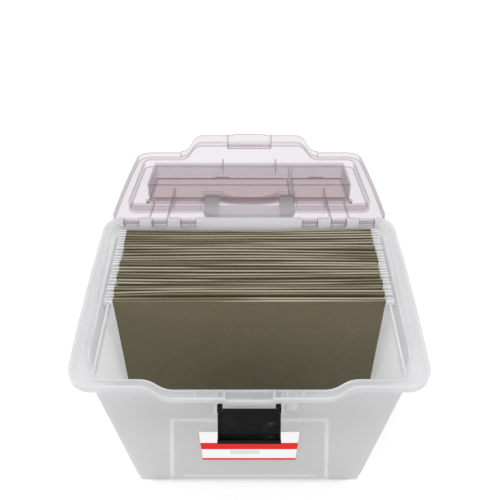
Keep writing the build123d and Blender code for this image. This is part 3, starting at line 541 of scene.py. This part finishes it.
# %% Label paper
LABEL_BANDS = ((0.1012, 0.1190), (0.0600, 0.0755))
LABEL_RULES = (0.0985, 0.0950, 0.0915, 0.0880)
RULE_HALF = 0.00045
RULE_ENDS = (-0.022, 0.012)
PAPER = (paint(244, 244, 244), paint(238, 238, 240))
RULE_GREY = paint(150, 150, 152)
BAND_RED = paint(222, 18, 14)


def label_paper():
    """White paper with red bands and short grey rules."""
    finish = Finish("label_paper")
    across, _, height = finish.axes()
    fibre = finish.speckle(scale=900.0, detail=4.0)
    red = sum((height.above(low) * height.below(high) for low, high in LABEL_BANDS), 0)
    rule = sum(((height - level).size().below(RULE_HALF) for level in LABEL_RULES), 0)
    ruled = rule * across.above(RULE_ENDS[0]) * across.below(RULE_ENDS[1])
    colour = finish.tint(ruled, finish.tint(fibre, *PAPER), RULE_GREY)
    colour = finish.tint(red, colour, BAND_RED)
    body = finish.add(
        "ShaderNodeBsdfPrincipled",
        values={
            "Base Color": colour,
            "Roughness": 0.6 + fibre * 0.1,
            "Specular IOR Level": 0.15,
            "Normal": finish.relief(fibre, strength=0.05, distance=0.0002),
        },
    )
    return finish.finished(body)


LABEL_PAPER = label_paper()
print("made", LABEL_PAPER.name)

# %% [markdown]
# ## Floor and lamps
# The floor is part of the stage, not of the object. Emission keeps it white right to the horizon,
# but it would also wash out the contact shadow, so it fades where the tub stands, which paints a
# soft contact shadow around the footprint.

# %% The tub's footprint
BASE = [vertex.co.copy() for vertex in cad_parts["box_body"].data.vertices if vertex.co.z < MM]
BASE_FRONT = min(point.y for point in BASE)
BASE_BACK = max(point.y for point in BASE)
BASE_SIDE = max(point.x for point in BASE)
BASE_CORNER = 0.030
SHADOW_REACH = 0.006
print("the base is", round(2 * BASE_SIDE, 3), "m wide and", round(BASE_BACK - BASE_FRONT, 3), "m deep")


def from_base(finish):
    """The distance from the tub's footprint, a rounded rectangle, which is below 0 inside it."""
    across, along, _ = finish.axes()
    beside = (across.size() - (BASE_SIDE - BASE_CORNER)).at_least(0.0)
    half_depth = (BASE_BACK - BASE_FRONT) / 2
    beyond = ((along - (BASE_FRONT + BASE_BACK) / 2).size() - (half_depth - BASE_CORNER)).at_least(0.0)
    squares = beside * beside + beyond * beyond
    return squares.math("SQRT", squares) - BASE_CORNER


# %% Floor
FLOOR_REACH = 30.0
FLOOR_GLOW = 0.59
SHADOW_GLOW = grey(0.2)


def white_floor():
    """White paper that glows a little, with a painted contact shadow where the tub stands."""
    finish = Finish("floor_white")
    colour = finish.tint(finish.speckle(scale=3.0, detail=2.0), grey(0.48), grey(0.50))
    # A painted contact shadow: the glow dims around the tub's footprint.
    shadow = from_base(finish).ramped(SHADOW_REACH, -SHADOW_REACH)
    body = finish.add(
        "ShaderNodeBsdfPrincipled",
        values={
            "Base Color": colour,
            "Roughness": 0.9,
            "Emission Color": finish.tint(shadow, WHITE, SHADOW_GLOW),
            "Emission Strength": FLOOR_GLOW,
        },
    )
    return finish.finished(body)


sheet = bmesh.new()
bmesh.ops.create_grid(sheet, x_segments=4, y_segments=4, size=FLOOR_REACH)
floor_mesh = bpy.data.meshes.new("floor")
sheet.to_mesh(floor_mesh)
sheet.free()
floor = bpy.data.objects.new("floor", floor_mesh)
bpy.context.scene.collection.objects.link(floor)
floor.data.materials.append(white_floor())
print("floor of", 2 * FLOOR_REACH, "m each way")

# %% World and lamps
WORLD_LIGHT = 0.84
SHEETS_SEEN_THROUGH = 32

world = bpy.data.worlds.new("studio")
bpy.context.scene.world = world
world.use_nodes = True
sky = world.node_tree.nodes["Background"]
sky.inputs["Color"].default_value = WHITE
sky.inputs["Strength"].default_value = WORLD_LIGHT


def lamp(name, place, aim, size, watts):
    """A large square area lamp turned towards a point."""
    light = bpy.data.lights.new(name, "AREA")
    light.size = size
    light.energy = watts
    holder = bpy.data.objects.new(name, light)
    holder.location = place
    holder.rotation_euler = (Vector(aim) - Vector(place)).to_track_quat("-Z", "Y").to_euler()
    bpy.context.scene.collection.objects.link(holder)


lamp("overhead", place=(0.0, 0.1, 1.9), aim=(0.0, 0.05, 0.1), size=1.6, watts=8)
lamp("front_left", place=(-1.3, -1.4, 1.1), aim=(0.0, 0.0, 0.15), size=1.0, watts=6)
bpy.context.scene.cycles.transparent_max_bounces = SHEETS_SEEN_THROUGH
print("lamps:", [light.name for light in bpy.data.lights])

# %% [markdown]
# ## Softened copies of the mouldings
# A moulded part has no knife-sharp edges, and the light that its small radii catch is most of what
# draws it. Each moulding is copied, its points are merged, and its sharp edges are bevelled. A
# Bevel modifier would do it too, but the operator says which faces it made. The bevels can get a
# material of their own that paints light and shade on the edges: a paler, less see-through plastic
# as a painted highlight on the frosted tub, and a darker smoke as painted shade on the clear
# lid and covers.

# %% Copies and bevels
SHARP = math.radians(28.0)
STRAY = 0.5
SAME_PLACE = 1e-6
NO_SIZE = 1e-8


def copied(node):
    """The node's shape with its points merged."""
    shape = bmesh.new()
    shape.from_mesh(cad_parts[node].data)
    bmesh.ops.remove_doubles(shape, verts=shape.verts, dist=SAME_PLACE)
    return shape


def softened(shape, radius, segments, edge_material=0, hollows=True):
    """Bevels the sharp edges inside the shape's box, and can give the bevels their own material.

    hollows=False leaves the edges that turn inwards, so that a bore keeps its room for a pin. On very
    narrow faces a bevel can throw a point far off, and such a point is put back on the surface. The
    faces that this leaves with no size are removed.
    """
    surface = BVHTree.FromBMesh(shape)
    lows = [min(vertex.co[axis] for vertex in shape.verts) for axis in range(3)]
    highs = [max(vertex.co[axis] for vertex in shape.verts) for axis in range(3)]
    sharp = [e for e in shape.edges if len(e.link_faces) == 2 and e.calc_face_angle() > SHARP]
    sharp = [e for e in sharp if hollows or e.is_convex]
    rounded = bmesh.ops.bevel(
        shape,
        geom=sharp,
        offset=radius,
        offset_type="OFFSET",
        segments=segments,
        profile=0.5,
        affect="EDGES",
        clamp_overlap=False,
        material=-1,
    )
    for face in rounded["faces"]:
        face.material_index = edge_material
    for vertex in shape.verts:
        spot, _, _, gap = surface.find_nearest(vertex.co)
        if gap > STRAY * radius:
            vertex.co = spot
        vertex.co = [min(max(vertex.co[axis], lows[axis]), highs[axis]) for axis in range(3)]
    bmesh.ops.dissolve_degenerate(shape, dist=NO_SIZE, edges=shape.edges)
    return len(sharp)


print("edges sharper than", round(math.degrees(SHARP)), "degrees are rounded")


# %% A piece from a shape
def stand_in(name, shape, body, node, slot, *materials):
    """A piece with this shape that is shown in place of the node and rides on its body."""
    bmesh.ops.recalc_face_normals(shape, faces=shape.faces)
    for face in shape.faces:
        face.smooth = True
    for edge in shape.edges:
        edge.smooth = len(edge.link_faces) != 2 or edge.calc_face_angle() < 2 * SHARP
    mesh = bpy.data.meshes.new(name)
    shape.to_mesh(mesh)
    shape.free()
    piece = bpy.data.objects.new(name, mesh)
    bpy.context.scene.collection.objects.link(piece)
    for material in materials:
        mesh.materials.append(material)
    evened = piece.modifiers.new("even_normals", "WEIGHTED_NORMAL")
    evened.keep_sharp = True
    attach(piece, body)
    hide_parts(node)
    return piece


print("a stand-in replaces its node and rides on that node's body")

# %% Which plastic shows where on the tub, with lighter copies that paint light
OUTSIDE, INSIDE, EDGE = 0, 1, 2
RAIL_TOP = 0.247
FACES_UP = 0.9
FACES_SIDEWAYS = 0.5


def tub_material(face):
    """EDGE, the plastic of painted highlights, for a rail's top and the wall above it, INSIDE, a lighter
    copy that paints light, for the other inner side walls, else OUTSIDE.
    """
    middle = face.calc_center_median()
    if face.normal.z > FACES_UP and abs(middle.z - RAIL_TOP) < MM:
        return EDGE
    inwards = face.normal.x * middle.x < 0 and abs(face.normal.x) > FACES_SIDEWAYS
    if not inwards or middle.y <= CHANNEL[1]:
        return OUTSIDE
    return EDGE if middle.z > RAIL_TOP else INSIDE


print("the tub's rails are", RAIL_TOP, "m up")

# %% The six mouldings
TUB_PLASTICS = (POLYPROPYLENE, LIT_INNER_WALL, EDGE_HIGHLIGHT_PLASTIC)
LID_PLASTICS = (CLEAR_SMOKE, EDGE_SHADE_SMOKE)
COVER_PLASTICS = (SMOKE_COVER, EDGE_SHADE_SMOKE)
MOULDINGS = [
    ("tub", "box_body", "tub", 0.0005, "natural_polypropylene", TUB_PLASTICS),
    ("lid_moulding", "lid", "lid", 0.0005, "clear_smoke_lid", LID_PLASTICS),
    ("handle", "carry_handle", "carry_handle", 0.0010, "natural_polypropylene", (HANDLE_PLASTIC,)),
    ("cover_large", "large_tray_cover", "large_cover", 0.0004, "clear_smoke_lid", COVER_PLASTICS),
    ("cover_small", "small_tray_cover", "small_cover", 0.0004, "clear_smoke_lid", COVER_PLASTICS),
    ("latch", "front_latch", "latch", 0.0004, "latch_black", (LATCH_BLACK,)),
]
WITH_BORES = ("box_body", "carry_handle")
for name, node, body, radius, slot_name, materials in MOULDINGS:
    shape = copied(node)
    shape.normal_update()
    for face in shape.faces:
        face.material_index = tub_material(face) if node == "box_body" else OUTSIDE
    edge_material = len(materials) - 1
    edges = softened(shape, radius, 2, edge_material, hollows=node not in WITH_BORES)
    piece = stand_in(name, shape, body, node, slot_name, *materials)
    print(name, edges, "edges rounded,", len(piece.data.polygons), "faces")

# %% [markdown]
# ## Hanging folders
# Thirteen equal folders would look like a comb. Real ones bow, lean and slide by a few
# millimetres, and their two panels are never quite the same distance apart. A cloth simulation
# could do it, but card this stiff only bends one way, so each folder is cut across into short
# lengths, and their points are pushed fore and aft by a smooth curve that is full at the rods and
# gone lower down. The rods follow the same curve.

# %% How a folder sways
HALF_WIDTH = 0.15
STILL_BELOW = 0.10
FULL_ABOVE = 0.22
FRONT_LOOSENESS = 0.25
BOW, BOW_CHANCE, BOW_WAVE = 0.0014, 0.0008, 0.85
BOW_START = 0.6
SLANT, SLANT_CHANCE, SLANT_WAVE = 0.0009, 0.0005, 0.6
RIPPLE, RIPPLE_WAVE, LATEST_PHASE = 0.0006, 3.3, 6.0
FURTHER_APART, CLOSER = 0.0011, 0.0005
ASIDE = 0.0014
SLID = 0.0008


class Sway:
    """How far one folder is pushed fore and aft, and to one side."""

    def __init__(self, number, middle):
        chance = random.Random(number)
        loose = FRONT_LOOSENESS if number == 1 else 1.0
        bow = BOW * math.sin(number * BOW_WAVE + BOW_START)
        slant = SLANT * math.sin(number * SLANT_WAVE)
        self.middle = middle
        self.bow = loose * (bow + chance.uniform(-BOW_CHANCE, BOW_CHANCE))
        self.slant = loose * (slant + chance.uniform(-SLANT_CHANCE, SLANT_CHANCE))
        self.ripple = loose * chance.uniform(-RIPPLE, RIPPLE)
        self.phase = chance.uniform(0.0, LATEST_PHASE)
        front = loose * chance.uniform(-FURTHER_APART, CLOSER)
        back = loose * chance.uniform(-CLOSER, FURTHER_APART)
        self.apart = [front, back]
        self.aside = loose * chance.uniform(-ASIDE, ASIDE)
        self.slid = loose * chance.uniform(-SLID, SLID)

    def push(self, point):
        """The push along Y at a point: nothing near the bottom, all of it at the rods."""
        across = point.x / HALF_WIDTH
        share = min(max((point.z - STILL_BELOW) / (FULL_ABOVE - STILL_BELOW), 0.0), 1.0)
        share = share * share * (3 - 2 * share)
        curve = self.bow * (1 - across * across) + self.slant * across
        curve += self.ripple * math.sin(RIPPLE_WAVE * across + self.phase)
        return share * (curve + self.slid + self.apart[point.y > self.middle])


print("the second folder slides", round(1000 * Sway(2, 0.0).slid, 2), "mm")

# %% Bowed folders and rods
FOLDERS = 13
CUTS = 22
ROD_EDGE = 0.0002
CARD_EDGE = 0.00018


def cut_across(shape):
    """Cuts the shape into short lengths along X."""
    for cut in range(1, CUTS):
        place = (-HALF_WIDTH + 2 * HALF_WIDTH * cut / CUTS, 0, 0)
        everything = shape.verts[:] + shape.edges[:] + shape.faces[:]
        bmesh.ops.bisect_plane(
            shape, geom=everything, dist=SAME_PLACE, plane_co=place, plane_no=(1, 0, 0)
        )


for number in range(1, FOLDERS + 1):
    body = "front_folder" if number == 1 else "tub"
    node = f"folder_rods_{number:02d}"
    rods = copied(node)
    sway = Sway(number, middle=sum(vertex.co.y for vertex in rods.verts) / len(rods.verts))
    softened(rods, ROD_EDGE, 1)
    cut_across(rods)
    for vertex in rods.verts:
        vertex.co.y += sway.push(vertex.co)
    stand_in(f"rods_{number:02d}", rods, body, node, "rod_steel", ROD_STEEL)
    node = f"folder_{number:02d}"
    card = copied(node)
    softened(card, CARD_EDGE, 2)
    cut_across(card)
    for vertex in card.verts:
        vertex.co.y += sway.push(vertex.co)
        vertex.co.x += sway.aside
    folder = stand_in(f"hanging_folder_{number:02d}", card, body, node, "folder_card", FOLDER_CARD)
print("bowed", FOLDERS, "folders, the last with", len(folder.data.polygons), "faces")

# %% [markdown]
# ## The label
# The label is a flat sheet on the front panel. The model's shape is already right, so it stays and
# only gets its paper.

# %% Label
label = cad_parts["front_label"]
label.data.materials.clear()
label.data.materials.append(LABEL_PAPER)
print("the label wears", label.data.materials[0].name)

# Softening the edges and bowing the folders must not have made the object larger.
